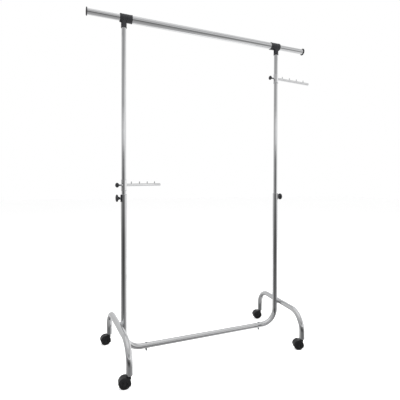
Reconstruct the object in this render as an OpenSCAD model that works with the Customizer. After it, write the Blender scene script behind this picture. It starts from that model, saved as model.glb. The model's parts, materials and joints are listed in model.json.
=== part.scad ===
// Rolling clothes rack, millimetres, +Z up, floor at Z = 0.
// The uprights stand at X = +/- upright_spacing / 2, Y = 0. -Y is the front.

/* [Base frame] */
// Distance between the two upright axes
upright_spacing = 860; // [600:5:1200]
// Outside diameter of the base and leg tubes
base_tube_d = 28; // [27:1:32]
// Wall of the steel tubes
tube_wall = 1.5; // [1:0.25:2.5]
// Height of the crossbar axis above the floor
crossbar_z = 59.5; // [50:0.5:80]
// Centreline radius of the corner bends
corner_radius = 84; // [70:1:96]
// Length of the straight run after each corner bend
corner_run = 47; // [40:1:60]
// Top of the lower uprights
lower_top = 800; // [800:1:815]
// Crossbar bolt position, measured from the upright axis
crossbar_bolt_in = 109; // [102:1:116]

/* [Leg arches] */
// Distance between the front and back caster stems
leg_spacing = 438; // [340:2:560]
// Height of the arch axis at its top
arch_top = 180.5; // [178:0.5:260]
// Centreline radius of the arch bends
arch_radius = 90; // [60:1:92]
// Height of the lower end of the legs
leg_end = 52; // [52:1:54]
// Depth of the dent in which the upright sits
arch_dent = 0.8; // [0.2:0.1:1.2]
// Angle by which the arches toe in towards the front
toe_in = 3.2; // [0:0.1:4]

/* [Casters] */
// Wheel diameter
wheel_d = 48; // [40:1:48]
// Thickness of one wheel
wheel_w = 9.5; // [8:0.5:12]
// Offset of the axle behind the swivel axis
caster_trail = 20; // [18:1:22]
// Direction in which the left casters trail (front, back)
left_caster_turn = [174, 182]; // [0:1:359]
// Direction in which the right casters trail (front, back)
right_caster_turn = [161, 171]; // [0:1:359]

/* [Upper frame] */
// Height of the top bar axis above the floor
bar_z = 1636; // [1620:1:1800]
// Outside diameter of the upper uprights
upper_tube_d = 22; // [18:1:22]
// Length of the upper uprights hidden in the lower ones
upper_inserted = 250; // [180:5:500]
// Outside diameter of the top bar
bar_d = 35; // [33:1:40]
// Outside diameter of the extension tubes
extension_d = 28; // [22:1:30]
// Length of each extension tube
extension_length = 400; // [300:5:420]
// How far the left extension is pulled out
left_pull = 147; // [0:1:290]
// How far the right extension is pulled out
right_pull = 164; // [0:1:290]
// Diameter of the end caps
cap_d = 38; // [36:1:50]

/* [Side arms] */
// Distance from the upright axis to the tip of an arm
arm_reach = 252; // [200:2:300]
// Outside diameter of the arm tubes
arm_d = 15; // [12:1:18]
// Angle by which the arms rise towards their tips
arm_rise = 1; // [0:0.5:6]
// Height of the left arm axis
left_arm_z = 845; // [840:1:1500]
// Direction of the left arm, seen from above
left_arm_turn = 32; // [-180:1:180]
// Height of the right arm axis
right_arm_z = 1455; // [900:1:1520]
// Direction of the right arm, seen from above
right_arm_turn = 6; // [-180:1:180]
// Number of hanger pins on each arm
pin_count = 4; // [2:1:6]

/* [Lock knobs] */
// Height of the lock knob axis
lock_z = 783; // [580:1:783]
// Diameter of the lock knobs
lock_knob_d = 35; // [28:1:45]
// Diameter of the arm knobs
arm_knob_d = 23; // [20:1:32]

/* [Hidden] */
$fn = 48;
cut = 1;                         // how far a cutting shape reaches past what it cuts
fit = 0.05;                      // radial clearance of a running fit
snug = 0.02;                     // radial clearance of parts pressed or bolted together
gap = 0.4;                       // clearance between parts that never touch
seam = 0.6;                      // joint line between a corner tube and the crossbar
half = upright_spacing / 2;
base_bore = base_tube_d - 2 * tube_wall;
corner_in = corner_radius + corner_run;
crossbar_half = half - corner_in;
arch_off = base_tube_d - arch_dent;
leg_y = leg_spacing / 2;
arch_straight = leg_y - arch_radius;
weld_ring = 10;
weld_bead = 3.2;
spigot_wall = 2;
spigot_d = base_bore - 2 * snug;
spigot_start = corner_radius + 2;
spigot_len = corner_in - spigot_start + 38;

bolt_d = 6;
bolt_head_d = 10;
bolt_crown_d = 7;
bolt_head_h = 1.6;
cap_nut_d = 11.5;
cap_nut_hex = 6;
cap_nut_neck = 3;
cap_nut_dome = 9;

stem_d = 8;
stem_in = 32;
stem_top = leg_end + stem_in;
stem_tip = 1.5;
stem_collar_d = 13;
stem_collar_h = 0.6;
socket_boss_d = 20;
socket_boss_h = 1.5;
socket_edge = 0.5;
socket_len = 36;
hood_r = wheel_d / 2 + 2.5;
hood_shell = 1.5;
hood_edge = 1.2;
hood_tilt = 14;
hood_drop = 6;                   // how far the hood reaches below the axle
hood_window_d = 24;
hood_hub_d = 15;
web_w = 10;
web_outline = [[-13, 3], [-20, 12], [-8, 20], [9, 16], [7.5, 0], [-7.5, 0]];
wheel_room = 1.2;
wheel_y = (web_w + wheel_room) / 2;
caster_half = wheel_y + wheel_w;
hood_wall = 1.4;
hood_half = web_w / 2 + wheel_w + wheel_room + hood_wall;
wheel_edge = 1.2;
rim_w = 5;
dish_depth = 1.5;
hub_cap_d = 13;
axle_z = wheel_d / 2;
axle_d = 5;
stem_rise = 12.5;
stem_foot = axle_z + stem_rise;
boss_d = 15;
boss_edge = 1;
boss_foot = stem_foot - 2;
boss_top = leg_end - socket_boss_h - stem_collar_h - gap;

bush_len = 60;
bush_lip = 1;
bush_lip_d = base_tube_d - 1;
stud_d = 8;
insert_d = 11;
insert_flange_d = 15;
insert_flange_h = 1.4;
insert_start = base_bore / 2 + 0.3;
saddle_t = 2;
saddle_h = 34;
saddle_angle = 50;
insert_rim = base_tube_d / 2 + saddle_t + 2 * snug;
lock_stud_start = upper_tube_d / 2 + gap;
lock_stud_len = 18;
lock_neck_at = 19;
lock_neck_d = 11;
lock_neck_h = 9;
lock_head_t = 9;
lock_flutes = 9;
knob_cone = 0.52;                // width of a knob's neck where it meets the head, over the head's
flute_d = 8.4;
flute_out = 3.2;

tee_d = bar_d + 4;
tee_edge = 0.8;
tee_stem_d = upper_tube_d + 4.4;
tee_in = 39;
tee_out = 17;
tee_bottom = bar_z - 46;
bush_flange = 2;
bush_edge = 0.6;
bar_half = half + tee_out;
bar_bore = bar_d - 2 * tube_wall;
bar_bush_len = 36;
upright_top = bar_z - bar_d / 2 - 2;
cap_t = 4;
cap_edge = 1;
cap_spigot = 22;
screw_d = 3.5;
screw_len = 5.5;
screw_head_d = 7;
screw_crown_d = 4.5;
screw_head_h = 2.2;
stem_screw_up = 14;
sleeve_screw_in = 22;

liner_wall = 1;
liner_bore = upper_tube_d + 2 * fit;
liner_d = liner_bore + 2 * liner_wall;
liner_rim_d = 25;
liner_rim_h = 1;
bracket_d = 27;
bracket_h = 49;
liner_h = bracket_h + 2 * (gap + liner_rim_h);
arm_wall = 1.2;
arm_bore_start = bracket_d / 2 + 1;
arm_edge = 1;
arm_boss_d = 11;
arm_boss_r = 17;
arm_stud_d = 6;
arm_stud_start = liner_d / 2 + gap;
arm_neck_at = 28;
arm_neck_d = 9;
arm_neck_h = 9;
arm_head_t = 8;
arm_flutes = 7;
pin_d = 6;
pin_root = 5;
pin_rise = 11;
pin_first = 49;
pin_last = arm_reach - 39.5;
pin_pitch = (pin_last - pin_first) / (pin_count - 1);

chrome = [0.78, 0.79, 0.81];
zinc = [0.62, 0.63, 0.65];
steel = [0.45, 0.46, 0.48];
black = [0.16, 0.165, 0.18];
tyre_black = [0.07, 0.07, 0.075];
grey_plastic = [0.42, 0.43, 0.45];

// Casters: [side, front or back, trailing direction]
front_left = [-1, -1, left_caster_turn[0]];
back_left = [-1, 1, left_caster_turn[1]];
front_right = [1, -1, right_caster_turn[0]];
back_right = [1, 1, right_caster_turn[1]];
casters = [front_left, back_left, front_right, back_right];

// ---------- shared shapes ----------

// Round tube standing on its end
module tube(outer, bore, length) {
  difference() {
    cylinder(d = outer, h = length);
    translate([0, 0, -cut]) cylinder(d = bore, h = length + 2 * cut);
  }
}

// Quarter bend of a base tube, in the XY plane
module quarter_bend(radius) {
  rotate_extrude(angle = 90) translate([radius, 0]) difference() {
    circle(d = base_tube_d);
    circle(d = base_bore);
  }
}

// Solid cylinder with both ends chamfered
module chamfered(d, length, chamfer) {
  cylinder(d1 = d - 2 * chamfer, d2 = d, h = chamfer);
  translate([0, 0, chamfer]) cylinder(d = d, h = length - 2 * chamfer);
  translate([0, 0, length - chamfer]) cylinder(d1 = d, d2 = d - 2 * chamfer, h = chamfer);
}

// Everything below is modelled at the left (-X) side and placed on either side
module on_side(side) {
  if (side < 0) children(); else mirror([1, 0, 0]) children();
}

// Place of a caster's swivel axis, seen from above
function foot(c) = [c[0] * (half + arch_off + c[1] * leg_y * sin(toe_in)), c[1] * leg_y * cos(toe_in)];

// Moves to a caster: its swivel axis at the origin, +X trailing
module at_caster(c) {
  translate(foot(c)) rotate([0, 0, c[2]]) children();
}

// Moves to the wheel axle of a caster, +Z along the axle
module at_axle() {
  translate([caster_trail, 0, axle_z]) rotate([90, 0, 0]) children();
}

// Moves to a knob axis: origin on the upright axis, +Z pointing outwards (-X)
module at_knob(z) {
  translate([-half, 0, z]) rotate([0, -90, 0]) children();
}

// Moves to a side arm: origin on its upright, +X along the arm
module at_arm(side, z, turn) {
  translate([side * half, 0, z]) rotate([0, 0, turn]) children();
}

// ---------- base frame ----------

// Moves to the bolt of the left crossbar joint
module at_bolt() {
  translate([crossbar_bolt_in - half, 0, crossbar_z]) children();
}

module base_corner() color(chrome) difference() {
  union() {
    translate([-half, 0, crossbar_z + corner_radius])
      tube(base_tube_d, base_bore, lower_top - crossbar_z - corner_radius);
    translate([corner_radius - half, 0, crossbar_z + corner_radius])
      rotate([90, 0, 0]) rotate([0, 0, 180]) quarter_bend(corner_radius);
    translate([corner_radius - half, 0, crossbar_z]) rotate([0, 90, 0])
      tube(base_tube_d, base_bore, corner_run - seam);
  }
  at_bolt() cylinder(d = bolt_d + 2 * snug, h = 2 * base_tube_d, center = true);
  at_knob(lock_z) cylinder(d = insert_d + 2 * snug, h = base_tube_d);
}

module base_crossbar() color(chrome) translate([-crossbar_half, 0, crossbar_z]) rotate([0, 90, 0])
  tube(base_tube_d, base_bore, 2 * crossbar_half);

// Inner sleeves that join the corner tubes to the crossbar
module crossbar_spigots() color(zinc) for (side = [-1, 1]) on_side(side) difference() {
  translate([spigot_start - half, 0, crossbar_z]) rotate([0, 90, 0])
    tube(spigot_d, spigot_d - 2 * spigot_wall, spigot_len);
  at_bolt() cylinder(d = bolt_d + 2 * snug, h = base_tube_d, center = true);
}

module crossbar_bolts() color(zinc) for (side = [-1, 1]) on_side(side) at_bolt() {
  translate([0, 0, base_tube_d / 2 + snug]) cylinder(d1 = bolt_head_d, d2 = bolt_crown_d, h = bolt_head_h);
  translate([0, 0, -base_tube_d / 2 - cap_nut_hex])
    cylinder(d = bolt_d, h = base_tube_d + cap_nut_hex + bolt_head_h / 2);
}

// Cap nuts under the crossbar joints
module crossbar_nuts() color(zinc) for (side = [-1, 1]) on_side(side) at_bolt()
  translate([0, 0, -base_tube_d / 2 - snug]) difference() {
    union() {
      translate([0, 0, -cap_nut_hex]) cylinder(d = cap_nut_d, h = cap_nut_hex, $fn = 6);
      translate([0, 0, -cap_nut_hex - cap_nut_neck]) cylinder(d = cap_nut_dome, h = cap_nut_neck);
      translate([0, 0, -cap_nut_hex - cap_nut_neck]) difference() {
        sphere(d = cap_nut_dome);
        translate([0, 0, cap_nut_dome / 2]) cube(cap_nut_dome, center = true);
      }
    }
    translate([0, 0, -cap_nut_hex]) cylinder(d = bolt_d + 2 * snug, h = cap_nut_hex + cut);
  }

// Moves to the left arch: origin on the floor under its middle, +Y to its back leg
module at_arch() {
  translate([-half - arch_off, 0, 0]) rotate([0, 0, toe_in]) children();
}

// Upright tube that the arch is dented against, as a solid bar
module upright_bar() {
  translate([-half, 0, 0]) cylinder(d = base_tube_d, h = 2 * arch_top);
}

module leg_arch() color(chrome) difference() {
  at_arch() {
    for (end = [0, 1]) mirror([0, end, 0]) {
      translate([0, leg_y, leg_end]) tube(base_tube_d, base_bore, arch_top - arch_radius - leg_end);
      rotate([90, 0, 90]) translate([arch_straight, arch_top - arch_radius]) quarter_bend(arch_radius);
    }
    translate([0, -arch_straight, arch_top]) rotate([-90, 0, 0])
      tube(base_tube_d, base_bore, 2 * arch_straight);
  }
  upright_bar();
}

// Weld bead round the spot where the arch is dented against the upright
module arch_weld() color(chrome) difference() {
  translate([-half - arch_off / 2, 0, arch_top]) rotate([0, 90, 0]) rotate_extrude()
    translate([weld_ring, 0]) circle(r = weld_bead);
  upright_bar();
  at_arch() translate([0, 0, arch_top]) rotate([90, 0, 0])
    cylinder(d = base_tube_d, h = leg_y, center = true);
}

// ---------- casters ----------

module caster_sockets() color(black) for (c = casters) at_caster(c)
  translate([0, 0, leg_end]) difference() {
    union() {
      translate([0, 0, -socket_boss_h]) chamfered(socket_boss_d, 2 * socket_boss_h, socket_edge);
      cylinder(d = base_bore - 2 * snug, h = socket_len);
    }
    cylinder(d = stem_d + 2 * fit, h = 3 * socket_len, center = true);
  }

module caster_stem() color(zinc) {
  translate([0, 0, stem_foot]) cylinder(d = stem_d, h = stem_top - stem_foot);
  translate([0, 0, stem_top]) cylinder(d1 = stem_d, d2 = stem_d - 2 * stem_tip, h = stem_tip);
  translate([0, 0, boss_top + snug]) cylinder(d = stem_collar_d, h = stem_collar_h);
}

// Space that one wheel turns in; side is +1 or -1 along the axle
module wheel_pocket(side) {
  at_axle() mirror([0, 0, side > 0 ? 1 : 0]) translate([0, 0, web_w / 2])
    cylinder(r = hood_r - hood_shell, h = wheel_w + wheel_room);
}

module caster_hood() color(black) difference() {
  union() {
    difference() {
      at_axle() translate([0, 0, -hood_half]) chamfered(2 * hood_r, 2 * hood_half, hood_edge);
      at_axle() cylinder(d = hood_window_d, h = 3 * hood_half, center = true);
      at_axle() rotate([0, 0, hood_tilt]) translate([-2 * hood_r, -4 * hood_r - hood_drop, -2 * hood_half])
        cube([4 * hood_r, 4 * hood_r, 4 * hood_half]);
    }
    at_axle() cylinder(d = hood_hub_d, h = web_w, center = true);
    at_axle() translate([0, 0, -web_w / 2]) linear_extrude(web_w) polygon(web_outline);
    translate([0, 0, boss_foot]) chamfered(boss_d, boss_top - boss_foot, boss_edge);
  }
  wheel_pocket(-1);
  wheel_pocket(1);
  at_axle() cylinder(d = axle_d + 2 * fit, h = 2 * web_w, center = true);
  translate([0, 0, stem_foot]) cylinder(d = stem_d + 2 * snug, h = leg_end);
}

module caster_axle() color(steel) at_axle() translate([0, 0, -caster_half + 1])
  cylinder(d = axle_d, h = 2 * caster_half - 2);

// One wheel with a dished outer face; side is +1 or -1 along local Y
module caster_wheel(side) color(tyre_black) at_axle() mirror([0, 0, side > 0 ? 1 : 0])
  translate([0, 0, wheel_y]) difference() {
    chamfered(wheel_d, wheel_w, wheel_edge);
    translate([0, 0, -cut]) cylinder(d = axle_d + 2 * snug, h = wheel_w + 2 * cut);
    translate([0, 0, wheel_w - dish_depth]) tube(wheel_d - 2 * rim_w, hub_cap_d, dish_depth + cut);
  }

// ---------- height lock ----------

module tube_bush() color(grey_plastic) difference() {
  translate([-half, 0, lower_top]) union() {
    translate([0, 0, -bush_len]) cylinder(d = base_bore - 2 * snug, h = bush_len + bush_lip);
    translate([0, 0, snug]) cylinder(d = bush_lip_d, h = bush_lip);
  }
  translate([-half, 0, lower_top - bush_len - cut])
    cylinder(d = upper_tube_d + 2 * fit, h = bush_len + bush_lip + 3 * cut);
  at_knob(lock_z) cylinder(d = stud_d + 2 * gap, h = base_tube_d);
}

// Curved plate on the outside of the tube
module lock_saddle() color(black) difference() {
  translate([-half, 0, lock_z - saddle_h / 2]) rotate([0, 0, 180 - saddle_angle])
    rotate_extrude(angle = 2 * saddle_angle) translate([base_tube_d / 2 + snug, 0])
      square([saddle_t, saddle_h]);
  at_knob(lock_z) cylinder(d = insert_d + 2 * snug, h = base_tube_d);
}

// Threaded inserts through the saddles and the tube walls
module lock_inserts() color(zinc) for (side = [-1, 1]) on_side(side) at_knob(lock_z) difference() {
  union() {
    translate([0, 0, insert_start]) cylinder(d = insert_d, h = insert_rim - insert_start + snug);
    translate([0, 0, insert_rim]) cylinder(d = insert_flange_d, h = insert_flange_h);
  }
  cylinder(d = stud_d + 2 * fit, h = base_tube_d);
}

module lock_stud() color(steel) at_knob(lock_z)
  translate([0, 0, lock_stud_start]) cylinder(d = stud_d, h = lock_stud_len);

// Conical neck and round-edged head with finger grips; the origin is the neck's end, +Z outwards
module knob_body(head_d, head_t, neck_d, neck_h, flutes) {
  rim_r = (head_d - head_t) / 2;
  difference() {
    union() {
      cylinder(d1 = neck_d, d2 = head_d * knob_cone, h = neck_h);
      translate([0, 0, neck_h]) rotate_extrude() intersection() {
        union() {
          square([rim_r, head_t]);
          translate([rim_r, head_t / 2]) circle(d = head_t);
        }
        square(head_d);
      }
    }
    for (i = [0 : flutes - 1]) rotate([0, 0, 360 / flutes * i])
      translate([head_d / 2 + flute_out, 0, neck_h - cut]) cylinder(d = flute_d, h = head_t + 2 * cut);
  }
}

module lock_knob() color(black) at_knob(lock_z) difference() {
  translate([0, 0, lock_neck_at]) knob_body(lock_knob_d, lock_head_t, lock_neck_d, lock_neck_h, lock_flutes);
  cylinder(d = stud_d + 2 * snug, h = lock_stud_start + lock_stud_len + snug);
}

// ---------- upper frame ----------

module upper_upright() color(chrome) difference() {
  translate([-half, 0, lower_top - upper_inserted])
    tube(upper_tube_d, upper_tube_d - 2 * tube_wall, upright_top - lower_top + upper_inserted);
  at_stem_screw() cylinder(d = screw_d + 2 * snug, h = upper_tube_d);
}

// Moves to the screw in a tee's stem, +Z pointing to the back
module at_stem_screw() {
  translate([-half, 0, tee_bottom + stem_screw_up]) rotate([-90, 0, 0]) children();
}

// Moves to the screw in a tee's sleeve, +Z pointing to the back
module at_sleeve_screw() {
  translate([sleeve_screw_in - half, 0, bar_z]) rotate([-90, 0, 0]) children();
}

module tee() color(black) difference() {
  union() {
    translate([-bar_half, 0, bar_z]) rotate([0, 90, 0]) chamfered(tee_d, tee_in + tee_out, tee_edge);
    translate([-half, 0, tee_bottom]) chamfered(tee_stem_d, bar_z - tee_bottom, tee_edge);
  }
  translate([-bar_half - cut, 0, bar_z]) rotate([0, 90, 0])
    cylinder(d = bar_d + 2 * snug, h = tee_in + tee_out + 2 * cut);
  translate([-half, 0, tee_bottom - cut])
    cylinder(d = upper_tube_d + 2 * snug, h = upright_top + snug - tee_bottom + cut);
  at_stem_screw() cylinder(d = screw_d + 2 * snug, h = tee_d);
  at_sleeve_screw() cylinder(d = screw_d + 2 * snug, h = tee_d);
}

// Self-tapping screw whose head rests at height z
module tee_screw(z) {
  translate([0, 0, z - screw_len]) cylinder(d = screw_d, h = screw_len + screw_head_h / 2);
  translate([0, 0, z]) cylinder(d1 = screw_head_d, d2 = screw_crown_d, h = screw_head_h);
}

module tee_screws() color(steel) for (side = [-1, 1]) on_side(side) {
  at_stem_screw() tee_screw(tee_stem_d / 2 + snug);
  at_sleeve_screw() tee_screw(tee_d / 2 + snug);
}

module top_bar() color(chrome) difference() {
  translate([-bar_half, 0, bar_z]) rotate([0, 90, 0]) tube(bar_d, bar_bore, 2 * bar_half);
  for (side = [-1, 1]) on_side(side) at_sleeve_screw() cylinder(d = screw_d + 2 * snug, h = bar_d);
}

// Bush in the end of the top bar that the extension slides in
module bar_bush() color(black) translate([-bar_half, 0, bar_z]) rotate([0, 90, 0]) difference() {
  union() {
    translate([0, 0, -bush_flange - snug]) chamfered(tee_d, bush_flange, bush_edge);
    translate([0, 0, -bush_flange - snug]) cylinder(d = bar_bore - 2 * snug, h = bush_flange + bar_bush_len);
  }
  translate([0, 0, -bush_flange - cut])
    cylinder(d = extension_d + 2 * fit, h = bar_bush_len + bush_flange + 2 * cut);
}

// Moves to the outer end of an extension tube on the left side, +Z pointing to the rack's middle
module at_extension(pull) {
  translate([-bar_half - bush_flange - pull, 0, bar_z]) rotate([0, 90, 0]) children();
}

module extension(pull) color(chrome) at_extension(pull)
  tube(extension_d, extension_d - 2 * tube_wall, extension_length);

module end_cap(pull) color(black) at_extension(pull) {
  translate([0, 0, -cap_t]) chamfered(cap_d, cap_t - snug, cap_edge);
  translate([0, 0, -cap_t / 2])
    cylinder(d = extension_d - 2 * tube_wall - 2 * snug, h = cap_spigot + cap_t / 2);
}

// ---------- side arms ----------

// Plastic sleeve that slides on the upright and that the bracket turns on
module arm_liner() color(grey_plastic) difference() {
  union() {
    translate([0, 0, -liner_h / 2]) cylinder(d = liner_d, h = liner_h);
    for (end = [0, 1]) mirror([0, 0, end])
      translate([0, 0, liner_h / 2 - liner_rim_h]) cylinder(d = liner_rim_d, h = liner_rim_h);
  }
  cylinder(d = liner_bore, h = 2 * liner_h, center = true);
}

// Moves along an arm: +Z from the bracket to the arm's tip
module arm_line() {
  rotate([0, 90 - arm_rise, 0]) children();
}

// Moves to the hanger pins of an arm: origin on the arm's axis, +Z along the pin
module at_pins() {
  for (i = [0 : pin_count - 1]) rotate([0, -arm_rise, 0])
    translate([pin_first + i * pin_pitch, 0, 0]) children();
}

// Bracket tube, arm tube with a closed tip, and the boss for the knob, welded together
module side_arm() color(chrome) difference() {
  union() {
    translate([0, 0, -bracket_h / 2]) cylinder(d = bracket_d, h = bracket_h);
    arm_line() cylinder(d = arm_d, h = arm_reach - arm_edge);
    arm_line() translate([0, 0, arm_reach - arm_edge])
      cylinder(d1 = arm_d, d2 = arm_d - 2 * arm_edge, h = arm_edge);
    rotate([0, -90, 0]) cylinder(d = arm_boss_d, h = arm_boss_r);
  }
  arm_line() translate([0, 0, arm_bore_start])
    cylinder(d = arm_d - 2 * arm_wall, h = arm_reach - arm_bore_start - 2 * arm_wall);
  cylinder(d = liner_d + 2 * fit, h = 2 * bracket_h, center = true);
  rotate([0, -90, 0]) cylinder(d = arm_stud_d + 2 * fit, h = bracket_d);
  at_pins() cylinder(d = pin_d + 2 * snug, h = arm_d);
}

// Hanger pins riveted in the top of the arm
module arm_pins() color(chrome) at_pins() {
  translate([0, 0, arm_d / 2 - pin_root]) cylinder(d = pin_d, h = pin_root + pin_rise - pin_d / 2);
  translate([0, 0, arm_d / 2 + pin_rise - pin_d / 2]) intersection() {
    sphere(d = pin_d);
    translate([0, 0, pin_d / 2]) cube(pin_d, center = true);
  }
}

module arm_knob() color(black) rotate([0, -90, 0]) union() {
  translate([0, 0, arm_stud_start]) cylinder(d = arm_stud_d, h = arm_neck_at + arm_neck_h - arm_stud_start);
  translate([0, 0, arm_neck_at]) knob_body(arm_knob_d, arm_head_t, arm_neck_d, arm_neck_h, arm_flutes);
}

// ---------- drawing ----------

module left_arm_place() { at_arm(-1, left_arm_z, left_arm_turn) children(); }
module right_arm_place() { at_arm(1, right_arm_z, right_arm_turn) children(); }

on_side(-1) base_corner();  // base_corner_left
on_side(1) base_corner();  // base_corner_right
base_crossbar();
crossbar_spigots();
crossbar_bolts();
crossbar_nuts();
on_side(-1) leg_arch();  // leg_arch_left
on_side(1) leg_arch();  // leg_arch_right
on_side(-1) arch_weld();  // arch_weld_left
on_side(1) arch_weld();  // arch_weld_right
caster_sockets();
at_caster(front_left) caster_stem();  // caster_stem_front_left
at_caster(front_left) caster_hood();  // caster_hood_front_left
at_caster(front_left) caster_axle();  // caster_axle_front_left
at_caster(front_left) caster_wheel(1);  // wheel_outer_front_left
at_caster(front_left) caster_wheel(-1);  // wheel_inner_front_left
at_caster(back_left) caster_stem();  // caster_stem_back_left
at_caster(back_left) caster_hood();  // caster_hood_back_left
at_caster(back_left) caster_axle();  // caster_axle_back_left
at_caster(back_left) caster_wheel(-1);  // wheel_outer_back_left
at_caster(back_left) caster_wheel(1);  // wheel_inner_back_left
at_caster(front_right) caster_stem();  // caster_stem_front_right
at_caster(front_right) caster_hood();  // caster_hood_front_right
at_caster(front_right) caster_axle();  // caster_axle_front_right
at_caster(front_right) caster_wheel(1);  // wheel_outer_front_right
at_caster(front_right) caster_wheel(-1);  // wheel_inner_front_right
at_caster(back_right) caster_stem();  // caster_stem_back_right
at_caster(back_right) caster_hood();  // caster_hood_back_right
at_caster(back_right) caster_axle();  // caster_axle_back_right
at_caster(back_right) caster_wheel(-1);  // wheel_outer_back_right
at_caster(back_right) caster_wheel(1);  // wheel_inner_back_right
on_side(-1) tube_bush();  // tube_bush_left
on_side(1) tube_bush();  // tube_bush_right
on_side(-1) lock_saddle();  // lock_saddle_left
on_side(1) lock_saddle();  // lock_saddle_right
lock_inserts();
on_side(-1) lock_stud();  // lock_stud_left
on_side(1) lock_stud();  // lock_stud_right
on_side(-1) lock_knob();  // lock_knob_left
on_side(1) lock_knob();  // lock_knob_right
on_side(-1) upper_upright();  // upper_upright_left
on_side(1) upper_upright();  // upper_upright_right
on_side(-1) tee();  // tee_left
on_side(1) tee();  // tee_right
tee_screws();
top_bar();
on_side(-1) bar_bush();  // bar_bush_left
on_side(1) bar_bush();  // bar_bush_right
on_side(-1) extension(left_pull);  // extension_left
on_side(1) extension(right_pull);  // extension_right
on_side(-1) end_cap(left_pull);  // end_cap_left
on_side(1) end_cap(right_pull);  // end_cap_right
left_arm_place() arm_liner();  // arm_liner_left
right_arm_place() arm_liner();  // arm_liner_right
left_arm_place() side_arm();  // side_arm_left
right_arm_place() side_arm();  // side_arm_right
left_arm_place() arm_pins();  // arm_pins_left
right_arm_place() arm_pins();  // arm_pins_right
left_arm_place() arm_knob();  // arm_knob_left
right_arm_place() arm_knob();  // arm_knob_right
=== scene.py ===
import json
import math

import bmesh
import bpy
from mathutils import Matrix, Vector


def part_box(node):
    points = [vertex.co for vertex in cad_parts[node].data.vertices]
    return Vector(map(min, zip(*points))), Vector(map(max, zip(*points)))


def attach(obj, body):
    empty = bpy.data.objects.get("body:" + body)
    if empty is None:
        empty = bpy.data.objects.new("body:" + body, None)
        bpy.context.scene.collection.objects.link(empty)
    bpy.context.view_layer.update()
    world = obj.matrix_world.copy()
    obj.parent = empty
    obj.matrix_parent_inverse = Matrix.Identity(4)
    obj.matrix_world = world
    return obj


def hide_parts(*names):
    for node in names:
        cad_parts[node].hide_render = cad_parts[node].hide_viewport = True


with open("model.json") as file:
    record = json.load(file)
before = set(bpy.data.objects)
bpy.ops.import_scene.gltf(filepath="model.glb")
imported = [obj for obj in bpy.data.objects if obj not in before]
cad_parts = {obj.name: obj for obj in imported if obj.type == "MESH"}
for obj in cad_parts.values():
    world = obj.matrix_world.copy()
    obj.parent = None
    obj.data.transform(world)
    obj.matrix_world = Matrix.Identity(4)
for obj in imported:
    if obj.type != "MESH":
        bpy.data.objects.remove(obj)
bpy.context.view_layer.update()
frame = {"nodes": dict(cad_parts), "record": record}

SIDES = (("left", -1), ("right", 1))
CORNERS = ("front_left", "back_left", "front_right", "back_right")
UP = Vector((0, 0, 1))

# ---------- camera ----------

CAMERA_PLACE = Vector((-0.7128, -1.6299, 0.8434))
CAMERA_TURN = math.radians(22.51)     # clockwise from +Y, seen from above
CAMERA_PITCH = math.radians(-0.647)
CAMERA_ROLL = math.radians(0.141)
CAMERA_LENS = 30.49
CAMERA_SENSOR = 36
CAMERA_SHIFT = -0.0261
CAMERA_NEAR, CAMERA_FAR = 0.05, 50


def make_camera():
    forward = Vector((math.sin(CAMERA_TURN) * math.cos(CAMERA_PITCH),
                      math.cos(CAMERA_TURN) * math.cos(CAMERA_PITCH),
                      math.sin(CAMERA_PITCH)))
    right = Vector((math.cos(CAMERA_TURN), -math.sin(CAMERA_TURN), 0))
    up = right.cross(forward)
    rolled_right = right * math.cos(CAMERA_ROLL) + up * math.sin(CAMERA_ROLL)
    rolled_up = up * math.cos(CAMERA_ROLL) - right * math.sin(CAMERA_ROLL)
    data = bpy.data.cameras.new("camera")
    data.lens = CAMERA_LENS
    data.sensor_width = CAMERA_SENSOR
    data.shift_y = CAMERA_SHIFT
    data.clip_start = CAMERA_NEAR
    data.clip_end = CAMERA_FAR
    camera = bpy.data.objects.new("camera", data)
    bpy.context.scene.collection.objects.link(camera)
    axes = Matrix((rolled_right, rolled_up, -forward)).transposed().to_4x4()
    camera.matrix_world = Matrix.Translation(CAMERA_PLACE) @ axes
    bpy.context.scene.camera = camera


# ---------- node helpers ----------

def feed(tree, socket, value):
    """Link another node's output to a socket, or set a plain value on it."""
    if isinstance(value, bpy.types.NodeSocket):
        tree.links.new(value, socket)
    else:
        socket.default_value = value


def node(tree, kind, **values):
    """A new node, fed by the names of its inputs."""
    made = tree.nodes.new(kind)
    for name, value in values.items():
        feed(tree, made.inputs[name], value)
    return made


def maths(tree, operation, first, second=0.0, third=0.0):
    made = tree.nodes.new("ShaderNodeMath")
    made.operation = operation
    for socket, value in zip(made.inputs, (first, second, third)):
        feed(tree, socket, value)
    return made.outputs[0]


def dot(tree, first, second):
    made = tree.nodes.new("ShaderNodeVectorMath")
    made.operation = "DOT_PRODUCT"
    feed(tree, made.inputs[0], first)
    feed(tree, made.inputs[1], second)
    return made.outputs["Value"]


def ramp(tree, factor, stops):
    """A smooth colour ramp from (position, grey or colour) pairs."""
    made = tree.nodes.new("ShaderNodeValToRGB")
    made.color_ramp.interpolation = "EASE"
    elements = made.color_ramp.elements
    while len(elements) < len(stops):
        elements.new(0.5)
    for element, (position, value) in zip(elements, stops):
        element.position = position
        colour = value if hasattr(value, "__len__") else (value,) * 3
        element.color = (*colour, 1)
    tree.links.new(factor, made.inputs[0])
    return made.outputs[0]


def remap(tree, value, low, high):
    """0 where value is at low, 1 where it is at high, smooth between."""
    made = tree.nodes.new("ShaderNodeMapRange")
    made.interpolation_type = "SMOOTHSTEP"
    for socket, number in zip(made.inputs, (value, low, high, 0.0, 1.0)):
        feed(tree, socket, number)
    return made.outputs[0]


MIX_FACTOR, MIX_FIRST, MIX_SECOND, MIX_RESULT = 0, 6, 7, 2     # a colour mix's own sockets


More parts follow.
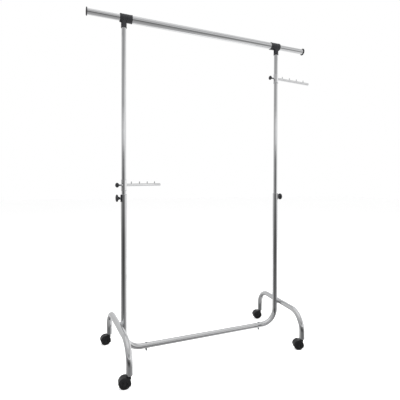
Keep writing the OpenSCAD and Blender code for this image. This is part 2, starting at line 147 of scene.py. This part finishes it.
def mix(tree, factor, first, second, blend="MIX"):
    made = tree.nodes.new("ShaderNodeMix")
    made.data_type = "RGBA"
    made.blend_type = blend
    feed(tree, made.inputs[MIX_FACTOR], factor)
    feed(tree, made.inputs[MIX_FIRST], first)
    feed(tree, made.inputs[MIX_SECOND], second)
    return made.outputs[MIX_RESULT]


# ---------- studio ----------

# What the reflections see, in degrees. A turn is 0 at the camera's side and 90 to its right.
# Brightness round the studio at five elevations: (elevation, ((turn, grey), ...)).
RINGS = [
    (-28, ((-180, 1.20), (-158, 0.90), (-125, 0.55), (-62, 0.38), (-20, 0.20), (12, 0.18),
           (48, 0.24), (85, 0.40), (135, 0.60), (160, 0.95), (180, 1.20))),
    (-11, ((-180, 0.75), (-115, 0.60), (-86, 0.48), (-61, 0.20), (-22, 0.060), (12, 0.065),
           (30, 0.13), (48, 0.27), (61, 0.38), (86, 0.75), (116, 0.90))),
    (0, ((-180, 0.75), (-115, 0.60), (-86, 0.50), (-55, 0.24), (-22, 0.16), (12, 0.14),
         (30, 0.26), (48, 0.42), (70, 0.85), (116, 0.92))),
    (14, ((-180, 0.75), (-120, 0.62), (-86, 0.42), (-50, 0.46), (-12, 0.40), (14, 0.42),
          (35, 0.66), (61, 0.85), (100, 0.95))),
    (24, ((-180, 0.70), (-120, 0.66), (-80, 0.52), (-22, 0.40), (12, 0.30), (34, 0.36),
          (60, 0.62), (100, 0.85))),
]
# Brightness above and below the rings, the same all round: ((elevation, grey), ...).
CAPS = ((-90, 0.52), (-62, 0.40), (-40, 0.34), (-28, 0.30), (26, 0.58), (46, 0.56),
        (62, 0.84), (90, 0.85))
CAP_START, CAP_FULL = 22, 36
# Softboxes just above the camera, low on the right and low at the back:
# (strength, ((elevation, share), ...), ((turn, share), ...)).
SOFTBOXES = [
    (0.36, ((4.5, 0), (7.5, 1), (9.5, 1), (13, 0)), ((-80, 0), (-45, 1), (40, 1), (75, 0))),
    (0.45, ((-72, 0), (-60, 1), (-42, 1), (-32, 0)), ((52, 0), (85, 1), (150, 1), (180, 0.5))),
    (0.70, ((-62, 0), (-48, 1), (-30, 1), (-22, 0)),
     ((-180, 1), (-165, 0.9), (-150, 0), (150, 0), (165, 0.9), (180, 1))),
]
FLOOR_SIZE = 40
FLOOR_GREY = 0.93
FLOOR_ROUGHNESS = 0.9
FLOOR_GLOW = 0.35


def turn_stops(pairs):
    """Ramp stops over the turn, -180 to 180 degrees."""
    return [((angle + 180) / 360, value) for angle, value in pairs]


def height_stops(pairs):
    """Ramp stops over the elevation, -90 to 90 degrees."""
    return [((angle + 90) / 180, value) for angle, value in pairs]


def make_world():
    world = bpy.data.worlds.new("studio")
    bpy.context.scene.world = world
    world.use_nodes = True
    tree = world.node_tree
    tree.nodes.clear()
    direction = tree.nodes.new("ShaderNodeTexCoord").outputs["Generated"]
    to_camera = Vector((-math.sin(CAMERA_TURN), -math.cos(CAMERA_TURN), 0))
    to_right = Vector((math.cos(CAMERA_TURN), -math.sin(CAMERA_TURN), 0))
    turn = maths(tree, "ARCTAN2", dot(tree, direction, to_right), dot(tree, direction, to_camera))
    turn = maths(tree, "MULTIPLY_ADD", turn, 0.5 / math.pi, 0.5)
    rise = maths(tree, "ARCSINE", dot(tree, direction, UP))
    height = maths(tree, "MULTIPLY_ADD", rise, 1 / math.pi, 0.5)
    below, stops = RINGS[0]
    ring = ramp(tree, turn, turn_stops(stops))
    for elevation, stops in RINGS[1:]:
        share = remap(tree, height, 0.5 + below / 180, 0.5 + elevation / 180)
        ring = mix(tree, share, ring, ramp(tree, turn, turn_stops(stops)))
        below = elevation
    caps = ramp(tree, height, height_stops(CAPS))
    away = maths(tree, "ABSOLUTE", maths(tree, "SUBTRACT", height, 0.5))
    sky = mix(tree, remap(tree, away, CAP_START / 180, CAP_FULL / 180), ring, caps)
    lit = 0.0
    for strength, rises, turns in SOFTBOXES:
        lamp = maths(tree, "MULTIPLY", ramp(tree, height, height_stops(rises)),
                     ramp(tree, turn, turn_stops(turns)))
        lit = maths(tree, "MULTIPLY_ADD", lamp, strength, lit)
    studio = node(tree, "ShaderNodeBackground", Color=mix(tree, 1, sky, lit, "ADD"))
    page = node(tree, "ShaderNodeBackground", Color=(1, 1, 1, 1))
    choose = tree.nodes.new("ShaderNodeMixShader")
    seen = tree.nodes.new("ShaderNodeLightPath").outputs["Is Camera Ray"]
    for socket, source in zip(choose.inputs, (seen, studio.outputs[0], page.outputs[0])):
        tree.links.new(source, socket)
    tree.links.new(choose.outputs[0], tree.nodes.new("ShaderNodeOutputWorld").inputs[0])


def make_floor():
    bpy.ops.mesh.primitive_plane_add(size=FLOOR_SIZE, location=(0, 0, 0))
    floor = bpy.context.object
    floor.name = "studio_floor"
    floor.visible_glossy = False
    material = bpy.data.materials.new("floor_paper")
    material.use_nodes = True
    shader = material.node_tree.nodes["Principled BSDF"]
    shader.inputs["Base Color"].default_value = (FLOOR_GREY, FLOOR_GREY, FLOOR_GREY, 1)
    shader.inputs["Roughness"].default_value = FLOOR_ROUGHNESS
    shader.inputs["Emission Color"].default_value = (1, 1, 1, 1)
    shader.inputs["Emission Strength"].default_value = FLOOR_GLOW
    floor.data.materials.append(material)


def area_light(name, place, target, size, power):
    """A square light that faces target and is not seen in reflections."""
    data = bpy.data.lights.new(name, "AREA")
    data.shape = "RECTANGLE"
    data.size = data.size_y = size
    data.energy = power
    light = bpy.data.objects.new(name, data)
    light.visible_glossy = False
    light.location = place
    light.rotation_euler = (Vector(target) - Vector(place)).to_track_quat("-Z", "Y").to_euler()
    bpy.context.scene.collection.objects.link(light)


def make_lights():
    area_light("overhead", place=(0, -0.4, 3.2), target=(0, 0, 0), size=4.0, power=120)
    area_light("front", place=(-1.6, -3.0, 1.8), target=(0, 0, 0.8), size=1.6, power=35)


# ---------- materials ----------

BEVEL_SAMPLES = 6


def principled(name):
    """A new material, with its tree, its shader and the object coordinates."""
    material = bpy.data.materials.new(name)
    material.use_nodes = True
    tree = material.node_tree
    place = tree.nodes.new("ShaderNodeTexCoord").outputs["Object"]
    return material, tree, tree.nodes["Principled BSDF"], place


def noise(tree, place, scale, detail, roughness):
    return node(tree, "ShaderNodeTexNoise", Vector=place, Scale=scale, Detail=detail,
                Roughness=roughness).outputs[0]


def bump(tree, height, strength, distance, normal):
    return node(tree, "ShaderNodeBump", Height=height, Strength=strength, Distance=distance,
                Normal=normal).outputs[0]


def rounded(tree, radius):
    """Normal with the edges rounded off."""
    made = node(tree, "ShaderNodeBevel", Radius=radius)
    made.samples = BEVEL_SAMPLES
    return made.outputs[0]


def edges(tree, radius):
    """1 on convex and concave edges, 0 on smooth stretches."""
    flat = tree.nodes.new("ShaderNodeNewGeometry").outputs["Normal"]
    return remap(tree, dot(tree, rounded(tree, radius), flat), 0.995, 0.90)


def chrome(name, tint, roughness):
    """Mirror plating with faint smudges and a slow waviness."""
    material, tree, shader, place = principled(name)
    smudge = noise(tree, place, scale=9, detail=4, roughness=0.6)
    fine = noise(tree, place, scale=170, detail=3, roughness=0.6)
    ripple = noise(tree, place, scale=38, detail=2, roughness=0.4)
    colour = ramp(tree, smudge, [(0.30, [c * 0.95 for c in tint]), (0.62, tint),
                                 (0.80, [c * 0.98 for c in tint])])
    grain = maths(tree, "MULTIPLY_ADD", fine, 0.05, roughness - 0.02)
    spots = maths(tree, "MULTIPLY_ADD", remap(tree, smudge, 0.48, 0.72), 0.06, grain)
    wavy = node(tree, "ShaderNodeBump", Height=ripple, Strength=0.10, Distance=0.0006).outputs[0]
    shader.inputs["Metallic"].default_value = 1
    tree.links.new(colour, shader.inputs["Base Color"])
    tree.links.new(spots, shader.inputs["Roughness"])
    normal = bump(tree, fine, strength=0.05, distance=0.0002, normal=wavy)
    tree.links.new(normal, shader.inputs["Normal"])
    return material


def plated(name, dark, light, roughness):
    """Dull metal with a cloudy colour and gloss."""
    material, tree, shader, place = principled(name)
    cloud = noise(tree, place, scale=120, detail=4, roughness=0.6)
    fine = noise(tree, place, scale=900, detail=3, roughness=0.6)
    gloss = maths(tree, "MULTIPLY_ADD", cloud, 0.25, roughness - 0.1)
    shader.inputs["Metallic"].default_value = 1
    tree.links.new(ramp(tree, cloud, [(0.3, dark), (0.7, light)]), shader.inputs["Base Color"])
    tree.links.new(gloss, shader.inputs["Roughness"])
    normal = bump(tree, fine, strength=0.2, distance=0.0001, normal=rounded(tree, 0.0003))
    tree.links.new(normal, shader.inputs["Normal"])
    return material


def plastic(name, colour, worn, roughness, grain, edge, shine=0.5):
    """Moulded plastic with a leather grain (cells per metre) and scuffed edges of a radius."""
    material, tree, shader, place = principled(name)
    cloud = noise(tree, place, scale=35, detail=3, roughness=0.5)
    leather = node(tree, "ShaderNodeTexVoronoi", Vector=place, Scale=grain).outputs["Distance"]
    base = ramp(tree, cloud, [(0.3, [c * 0.86 for c in colour]), (0.7, [c * 1.12 for c in colour])])
    patches = noise(tree, place, scale=260, detail=4, roughness=0.7)
    scuffs = maths(tree, "MULTIPLY", edges(tree, edge), patches)
    gloss = maths(tree, "MULTIPLY_ADD", cloud, 0.16, roughness - 0.08)
    shader.inputs["Specular IOR Level"].default_value = shine
    tree.links.new(mix(tree, scuffs, base, (*worn, 1)), shader.inputs["Base Color"])
    tree.links.new(gloss, shader.inputs["Roughness"])
    normal = bump(tree, leather, strength=0.22, distance=0.00025, normal=rounded(tree, edge))
    tree.links.new(normal, shader.inputs["Normal"])
    return material


MATERIALS = {
    "chrome_steel": chrome("chrome_plate", tint=(0.76, 0.765, 0.775), roughness=0.07),
    "zinc_steel": plated("zinc_plate", dark=(0.50, 0.51, 0.53), light=(0.66, 0.67, 0.68),
                         roughness=0.32),
    "plain_steel": plated("bare_steel", dark=(0.34, 0.35, 0.37), light=(0.48, 0.49, 0.50),
                          roughness=0.38),
    "black_plastic": plastic("black_moulding", colour=(0.016, 0.0165, 0.019),
                             worn=(0.085, 0.086, 0.092), roughness=0.46, grain=1900, edge=0.0006),
    "caster_plastic": plastic("caster_moulding", colour=(0.008, 0.008, 0.009),
                              worn=(0.03, 0.03, 0.032), roughness=0.36, grain=2600, edge=0.0006,
                              shine=0.4),
    "wheel_plastic": plastic("wheel_tread", colour=(0.007, 0.007, 0.0075),
                             worn=(0.035, 0.034, 0.033), roughness=0.44, grain=1500, edge=0.0008,
                             shine=0.4),
    "grey_plastic": plastic("grey_moulding", colour=(0.26, 0.265, 0.28),
                            worn=(0.36, 0.365, 0.38), roughness=0.42, grain=1900, edge=0.0005),
}
# A lighter copy of the chrome plate for the arms: painted light, so the arms look more brightly lit than
# the rest of the chrome.
ARM_CHROME_PAINTED_LIGHT = chrome("arm_chrome_painted_light", tint=(0.93, 0.935, 0.945), roughness=0.08)


# Chrome on the arms takes the lighter copy with painted light; every other slot keeps its own material.
def material_for(slot, on_arm):
    return ARM_CHROME_PAINTED_LIGHT if on_arm and slot == "chrome_steel" else MATERIALS[slot]


def dress_cad_nodes():
    for part in frame["record"]["subparts"]:
        shape = frame["nodes"][part["node"]]
        for place in shape.material_slots:
            place.material = material_for(part["material_slot"], "arm_" in shape.name)


# ---------- mesh pieces ----------

JOINTS = {joint["name"]: joint for joint in frame["record"]["behaviour"]["joints"]}


def mm(value):
    return value / 1000


def placed(origin, axis, across=None):
    """Matrix with +Z along axis and, where across is given, +X nearest to it."""
    z = Vector(axis).normalized()
    x = Vector(across) if across is not None else z.orthogonal()
    x = (x - z * x.dot(z)).normalized()
    return Matrix.Translation(Vector(origin)) @ Matrix((x, z.cross(x), z)).transposed().to_4x4()


def piece(name, points, faces, place, slot, body, crease=35):
    """A new mesh that rides a body; edges sharper than crease degrees stay sharp."""
    mesh = bpy.data.meshes.new(name)
    mesh.from_pydata([place @ Vector(point) for point in points], [], faces)
    mesh.update()
    work = bmesh.new()
    work.from_mesh(mesh)
    bmesh.ops.recalc_face_normals(work, faces=work.faces)
    work.to_mesh(mesh)
    work.free()
    mesh.shade_smooth()
    mesh.set_sharp_from_angle(angle=math.radians(crease))
    mesh.materials.append(material_for(slot, body.startswith("arm_")))
    made = bpy.data.objects.new(name, mesh)
    bpy.context.scene.collection.objects.link(made)
    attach(made, body)
    return made


def rim(radius, *pairs):
    """Rings for turned: (radius beyond the one given, height) pairs in millimetres."""
    return [(radius + mm(beyond), mm(height)) for beyond, height in pairs]


def turned(name, rings, place, slot, body, steps=48, crease=35):
    """Rings of (radius, height) round +Z, closed at a radius of 0.

    A radius may be a function of the angle.
    """
    points, rows, faces = [], [], []
    for radius, height in rings:
        if radius == 0:
            rows.append([len(points)] * steps)
            points.append((0, 0, height))
            continue
        row = []
        for step in range(steps):
            angle = 2 * math.pi * step / steps
            reach = radius(angle) if callable(radius) else radius
            row.append(len(points))
            points.append((reach * math.cos(angle), reach * math.sin(angle), height))
        rows.append(row)
    for low, high in zip(rows, rows[1:]):
        for step in range(steps):
            after = (step + 1) % steps
            corners = [low[step], low[after], high[after], high[step]]
            faces.append(tuple(dict.fromkeys(corners)))
    return piece(name, points, faces, place, slot, body, crease)


def swept(name, path, radius, place, slot, body, closed=True, sides=12):
    """A round bead along a path; radius is a function of the way along it, from 0 to 1."""
    path = [Vector(point) for point in path]
    count = len(path)
    middle_of_path = sum(path, Vector()) / count
    points, faces = [], []
    for index, centre in enumerate(path):
        before = path[index - 1] if closed or index else centre
        after = path[(index + 1) % count] if closed or index + 1 < count else centre
        along = (after - before).normalized()
        outward = centre - middle_of_path
        side = outward - along * outward.dot(along)
        side = side.normalized() if side.length > 1e-6 else along.orthogonal().normalized()
        up = along.cross(side)
        size = radius(index / count)
        for turn in range(sides):
            angle = 2 * math.pi * turn / sides
            points.append(centre + side * (size * math.cos(angle)) + up * (size * math.sin(angle)))
    for index in range(count if closed else count - 1):
        base, top = index * sides, (index + 1) % count * sides
        for turn in range(sides):
            after = (turn + 1) % sides
            faces.append((base + turn, base + after, top + after, top + turn))
    if not closed:
        faces.append(tuple(range(sides)))
        faces.append(tuple(range((count - 1) * sides, count * sides)))
    return piece(name, points, faces, place, slot, body)


def even(size):
    """Size of a plain bead."""
    return lambda way: size


def ripples(size, count, depth=0.16):
    """Size of a weld bead, which swells once for each of its ripples."""
    return lambda way: size * (1 - depth * (way * count % 1) ** 2)


def reach_along(node_name, origin, axis):
    """Lowest and highest place of a CAD node's points along an axis through origin."""
    shape = frame["nodes"][node_name]
    way = Vector(axis).normalized()
    spots = [(shape.matrix_world @ vertex.co - Vector(origin)).dot(way)
             for vertex in shape.data.vertices]
    return min(spots), max(spots)


def middle(node_name):
    low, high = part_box(node_name)
    return (Vector(low) + Vector(high)) / 2


# ---------- details ----------

UPRIGHT_X = JOINTS["lock_right_turn"]["pos_m"][0]

# arms
BRACKET_R = mm(13.5)
BOSS_R = mm(5.5)
ARM_TUBE_R = mm(7.5)
ARM_RISE = math.radians(1)
ARM_TIP_SINK = mm(0.1)
ARM_BEAD_R, BOSS_BEAD_R = mm(1.3), mm(0.9)
PIN_SPACING = mm(10)       # points of one pin lie closer together than this
STUD_R = mm(3)
STUD_START = mm(17)        # the bare stretch of the stud, from the upright's axis
STUD_END = mm(28)
THREAD_PITCH = mm(1)
THREAD_DEPTH = mm(0.42)
THREAD_FOOT = mm(0.02)
THREAD_STEPS = 24

# knobs and their saddles
ARM_KNOB_CAP_R = mm(6.6)
LOCK_KNOB_CAP_R = mm(11.5)
SADDLE_RIM_R = mm(1.1)
SADDLE_RIM_INSET = mm(1.2)
SADDLE_RIM_SINK = mm(0.5)
SADDLE_SPREAD = 48         # degrees to each side

# tees, bolts and screws
STEM_R = mm(13.2)
TEE_LINE_R = mm(0.28)
TEE_LINE_INSET = mm(5)
SCREW_HEAD_H = mm(2.2)
STEM_SCREW_REACH = mm(8)   # a stem's screw is this close to the upright's axis, a sleeve's is not
CROSS_R = mm(1.9)
CROSS_WAIST_R = mm(0.62)
CROSS_SPREAD = math.radians(14)
HEX_R = mm(2)
BOLT_HEAD_R = mm(5)

# welds of the leg arches, and casters
ARCH_BEAD_R = mm(3.1)
WHEEL_RIBS = 7
RIB_START, RIB_SHORT = mm(6), mm(4.6)     # from the axle, and short of the tread
RIB_SECTION = ((1.1, -1.6), (1.0, -0.35), (0.6, -0.1), (-0.6, -0.1), (-1.0, -0.35), (-1.1, -1.6))
HOOD_RIM_R = mm(0.75)
HOOD_RIM_SINK = mm(0.15)
HOOD_WINDOW_R = mm(12.6)
HOOD_WINDOW_START, HOOD_WINDOW_SWEEP = -13, 234     # degrees from the trailing side


def arc(radius, start, sweep, steps):
    """Points on an arc round +Z, from degrees."""
    angles = [math.radians(start + sweep * step / steps) for step in range(steps + 1)]
    return [Vector((radius * math.cos(angle), radius * math.sin(angle), 0)) for angle in angles]


def circle(radius, steps):
    return arc(radius, 0, 360, steps)[:-1]


def arch_welds():
    for side, _ in SIDES:
        low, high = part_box(f"arch_weld_{side}")
        radius = (high[2] - low[2]) / 2 - ARCH_BEAD_R
        bead = swept(f"weld_bead_{side}", circle(radius, 144), ripples(ARCH_BEAD_R, 16),
                     placed(middle(f"arch_weld_{side}"), (1, 0, 0)), "chrome_steel", "base")
        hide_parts(f"arch_weld_{side}")


def bracket_weld(name, origin, way, tube, size, body):
    """Bead where a tube along way meets the bracket's upright sleeve."""
    path = []
    for x, y, _ in circle(tube, 72):
        path.append((x, y, math.sqrt(BRACKET_R ** 2 - x * x)))
    swept(name, path, ripples(size, 14), placed(origin, way, UP.cross(way)), "chrome_steel", body)


def grouped(spots, spacing):
    """Sorted numbers, split where two neighbours are further apart than spacing."""
    groups = [[spots[0]]]
    for spot in spots[1:]:
        if spot - groups[-1][-1] > spacing:
            groups.append([])
        groups[-1].append(spot)
    return groups


def arm_details(side):
    joint = JOINTS[f"arm_{side}_knob_turn"]
    origin, back = Vector(joint["pos_m"]), Vector(joint["axis"])
    arm, knob_body = f"arm_{side}", f"arm_knob_{side}_body"
    tip = reach_along(f"side_arm_{side}", origin, -back)[1]
    arm_line = -back * math.cos(ARM_RISE) + UP * math.sin(ARM_RISE)
    up = (UP - arm_line * arm_line.z).normalized()
    bracket_weld(f"arm_weld_{side}", origin, arm_line, ARM_TUBE_R, ARM_BEAD_R, arm)
    bracket_weld(f"boss_weld_{side}", origin, back, BOSS_R, BOSS_BEAD_R, arm)
    # closed tip, slightly domed
    turned(f"arm_tip_{side}", rim(0, (6.4, 0), (6.1, 0.5), (4.8, 1.1), (2.6, 1.5), (0, 1.6)),
           placed(origin + arm_line * (tip - ARM_TIP_SINK), arm_line), "chrome_steel", arm)
    # a rivet collar under each pin
    pins = frame["nodes"][f"arm_pins_{side}"].data.vertices
    spots = sorted((vertex.co - origin).dot(arm_line) for vertex in pins)
    for number, pin in enumerate(grouped(spots, PIN_SPACING), 1):
        centre = origin + arm_line * ((pin[0] + pin[-1]) / 2) + up * ARM_TUBE_R
        turned(f"pin_collar_{side}_{number}", rim(0, (4, -1.2), (3.95, 0.25), (3.5, 0.6), (2.95, 0.65)),
               placed(centre, up), "chrome_steel", arm, steps=32)
    head = reach_along(f"arm_knob_{side}", origin, back)[1]
    thread(f"arm_thread_{side}", origin, back, knob_body)
    knob_cap(f"arm_knob_cap_{side}", origin + back * head, back, ARM_KNOB_CAP_R, knob_body)


def thread(name, origin, axis, body):
    """Thread on the bare stretch of an arm's stud."""
    count = int((STUD_END - STUD_START) / THREAD_PITCH * THREAD_STEPS)
    foot = STUD_R + THREAD_FOOT
    points, faces = [], []
    for step in range(count + 1):
        angle = 2 * math.pi * step / THREAD_STEPS
        height = STUD_START + THREAD_PITCH * step / THREAD_STEPS
        for offset, radius in ((-0.5, foot), (0, STUD_R + THREAD_DEPTH), (0.5, foot)):
            points.append((radius * math.cos(angle), radius * math.sin(angle),
                           height + offset * THREAD_PITCH))
    for step in range(count):
        for flank in (0, 1):
            first = 3 * step + flank
            faces.append((first, first + 3, first + 4, first + 1))
    piece(name, points, faces, placed(origin, axis), "plain_steel", body, crease=20)


def knob_cap(name, place, axis, radius, body):
    rings = rim(radius, (0, -0.2), (-0.1, 0.5), (-0.7, 0.9), (-1.5, 0.8), (-2.0, 0.2), (-2.4, 0.15),
                (-3.2, 0.8))
    rings += [(radius * 0.35, mm(1.2)), (0, mm(1.3))]
    turned(name, rings, placed(place, axis), "black_plastic", body)


def lock_details(side):
    joint = JOINTS[f"lock_{side}_turn"]
    origin, out = Vector(joint["pos_m"]), Vector(joint["axis"])
    head = reach_along(f"lock_knob_{side}", origin, out)[1]
    knob_cap(f"lock_knob_cap_{side}", origin + out * head, out, LOCK_KNOB_CAP_R, f"lock_{side}")
    # raised rims of the saddle
    low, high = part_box(f"lock_saddle_{side}")
    radius = max(abs(low[0] - origin.x), abs(high[0] - origin.x)) - SADDLE_RIM_SINK
    path = [Vector((out.x * x, y, 0)) for x, y, _ in arc(radius, -SADDLE_SPREAD, 2 * SADDLE_SPREAD, 32)]
    for name, z in (("top", high[2] - SADDLE_RIM_INSET), ("foot", low[2] + SADDLE_RIM_INSET)):
        swept(f"saddle_rim_{name}_{side}", path, even(SADDLE_RIM_R),
              Matrix.Translation(Vector((origin.x, origin.y, z))), "black_plastic", "base", closed=False)


def tee_details(side, sign):
    low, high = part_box(f"tee_{side}")
    radius = (high[1] - low[1]) / 2
    axis_z = high[2] - radius
    collar = rim(radius, (-1.2, 0.05), (0.3, 0.3), (0.7, 0.9), (0.7, 3.6), (0.2, 4.3), (-0.4, 4.5))
    for name, x, way in (("a", low[0], 1), ("b", high[0], -1)):
        turned(f"tee_collar_{name}_{side}", collar, placed((x, 0, axis_z), (way, 0, 0)),
               "black_plastic", "upper_frame", steps=72)
    turned(f"tee_collar_stem_{side}",
           rim(STEM_R, (-1.2, 0.05), (0.3, 0.3), (0.6, 0.9), (0.6, 3.4), (0.2, 4.0), (-0.4, 4.2)),
           placed((sign * UPRIGHT_X, 0, low[2]), UP), "black_plastic", "upper_frame", steps=64)
    # moulding line along the middle of the sleeve
    start, span = low[0] + TEE_LINE_INSET, high[0] - low[0] - 2 * TEE_LINE_INSET
    for name, way in (("front", -1), ("back", 1)):
        path = [(start + span * step / 12, way * radius, axis_z) for step in range(13)]
        swept(f"tee_line_{name}_{side}", path, even(TEE_LINE_R), Matrix.Identity(4),
              "black_plastic", "upper_frame", closed=False, sides=8)


def cross(angle):
    """Outline of a cross recess."""
    quarter = math.pi / 2
    off = abs((angle + quarter / 2) % quarter - quarter / 2)
    return CROSS_R if off < CROSS_SPREAD else CROSS_WAIST_R


def hexagon(angle):
    """Outline of a socket for a hexagonal key."""
    sixth = math.pi / 3
    return HEX_R / math.cos((angle + sixth / 2) % sixth - sixth / 2)


def screw_heads():
    groups = {}
    for vertex in frame["nodes"]["tee_screws"].data.vertices:
        spot = vertex.co
        key = (round(spot.x, 1) > 0, abs(spot.x) > UPRIGHT_X - STEM_SCREW_REACH)
        groups.setdefault(key, []).append(spot)
    for number, key in enumerate(sorted(groups), 1):
        xs, ys, zs = zip(*groups[key])
        foot = ((max(xs) + min(xs)) / 2, max(ys) - SCREW_HEAD_H, (max(zs) + min(zs)) / 2)
        rings = rim(0, (3.4, 0), (3.6, 0.5), (3.3, 1.3), (2.6, 1.9), (2.1, 2.1))
        rings += [(cross, mm(2.12)), (cross, mm(1)), (0, mm(0.9))]
        turned(f"tee_screw_head_{number}", rings, placed(foot, (0, 1, 0)),
                            "plain_steel", "upper_frame", steps=72, crease=30)
    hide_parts("tee_screws")


def bolt_heads():
    low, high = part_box("crossbar_bolts")
    rings = rim(0, (5.2, -1.5), (5.3, -0.3), (4.9, 0.4), (3.9, 0.9), (2.8, 1.1))
    rings += [(hexagon, mm(1.1)), (hexagon, mm(0.1)), (0, mm(0.05))]
    for side, x in (("left", low[0] + BOLT_HEAD_R), ("right", high[0] - BOLT_HEAD_R)):
        turned(f"bolt_head_{side}", rings, placed((x, 0, high[2]), UP), "zinc_steel", "base",
               steps=72, crease=30)


def end_caps(side, sign):
    low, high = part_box(f"end_cap_{side}")
    x = low[0] if sign < 0 else high[0]
    radius = (high[2] - low[2]) / 2
    rings = rim(radius, (-1.4, -0.3), (-1.9, 0.5), (-3.0, 0.9), (-4.4, 0.7), (-5.2, 0.1), (-6.0, 0.1),
                (-7.0, 0.8))
    rings += [(radius * 0.4, mm(1.6)), (0, mm(1.8))]
    turned(f"cap_face_{side}", rings, placed((x, 0, (low[2] + high[2]) / 2), (sign, 0, 0)),
           "black_plastic", f"extension_{side}_body", steps=64)


def wheel_face(side, corner, place, radius, body):
    """Hub cap, spokes and tread lip of a wheel's outer face, with +Z outwards at place."""
    turned(f"hub_cap_{side}_{corner}",
           rim(0, (6.3, -0.8), (6.2, 0.3), (5.4, 0.9), (3.4, 1.3), (0, 1.45)),
           place, "caster_plastic", body, steps=40)
    points, faces = [], []
    width = len(RIB_SECTION)
    for rib in range(WHEEL_RIBS):
        angle = 2 * math.pi * rib / WHEEL_RIBS
        out = Vector((math.cos(angle), math.sin(angle), 0))
        across = Vector((-math.sin(angle), math.cos(angle), 0))
        base = len(points)
        for reach in (RIB_START, radius - RIB_SHORT):
            for aside, height in RIB_SECTION:
                points.append(out * reach + across * mm(aside) + UP * mm(height))
        for edge in range(base, base + width - 1):
            faces.append((edge, edge + 1, edge + width + 1, edge + width))
    piece(f"wheel_ribs_{side}_{corner}", points, faces, place, "wheel_plastic", body)
    turned(f"tread_lip_{side}_{corner}",
           rim(radius, (-1.6, -0.25), (-1.9, 0.12), (-2.6, 0.16), (-3.0, -0.2)),
           place, "wheel_plastic", body, steps=56)


def caster_details(corner):
    swivel, roll = JOINTS[f"caster_{corner}_swivel"], JOINTS[f"wheels_{corner}_roll"]
    centre, axle = Vector(roll["pos_m"]), Vector(roll["axis"]).normalized()
    for node_name in (f"wheel_outer_{corner}", f"wheel_inner_{corner}"):
        low, high = reach_along(node_name, centre, axle)
        side, way, reach = ("a", 1, high) if high > -low else ("b", -1, low)
        wheel_face(side, corner, placed(centre + axle * reach, axle * way, UP), centre.z,
                   f"wheels_{corner}")
    # rim round the window in each cheek of the hood
    low, high = reach_along(f"caster_hood_{corner}", centre, axle)
    back = ((centre - Vector(swivel["pos_m"])) * Vector((1, 1, 0))).normalized()
    window = arc(HOOD_WINDOW_R, HOOD_WINDOW_START, HOOD_WINDOW_SWEEP, 40)
    path = [back * x + UP * y for x, y, _ in window]
    for side, reach in (("a", high - HOOD_RIM_SINK), ("b", low + HOOD_RIM_SINK)):
        swept(f"hood_rim_{side}_{corner}", path, even(HOOD_RIM_R),
              Matrix.Translation(centre + axle * reach), "caster_plastic", f"caster_{corner}",
              closed=False)


make_camera()
make_world()
make_floor()
make_lights()
dress_cad_nodes()
arch_welds()
screw_heads()
bolt_heads()
for side, sign in SIDES:
    arm_details(side)
    lock_details(side)
    tee_details(side, sign)
    end_caps(side, sign)
for corner in CORNERS:
    caster_details(corner)
bpy.context.scene.view_settings.view_transform = "Standard"
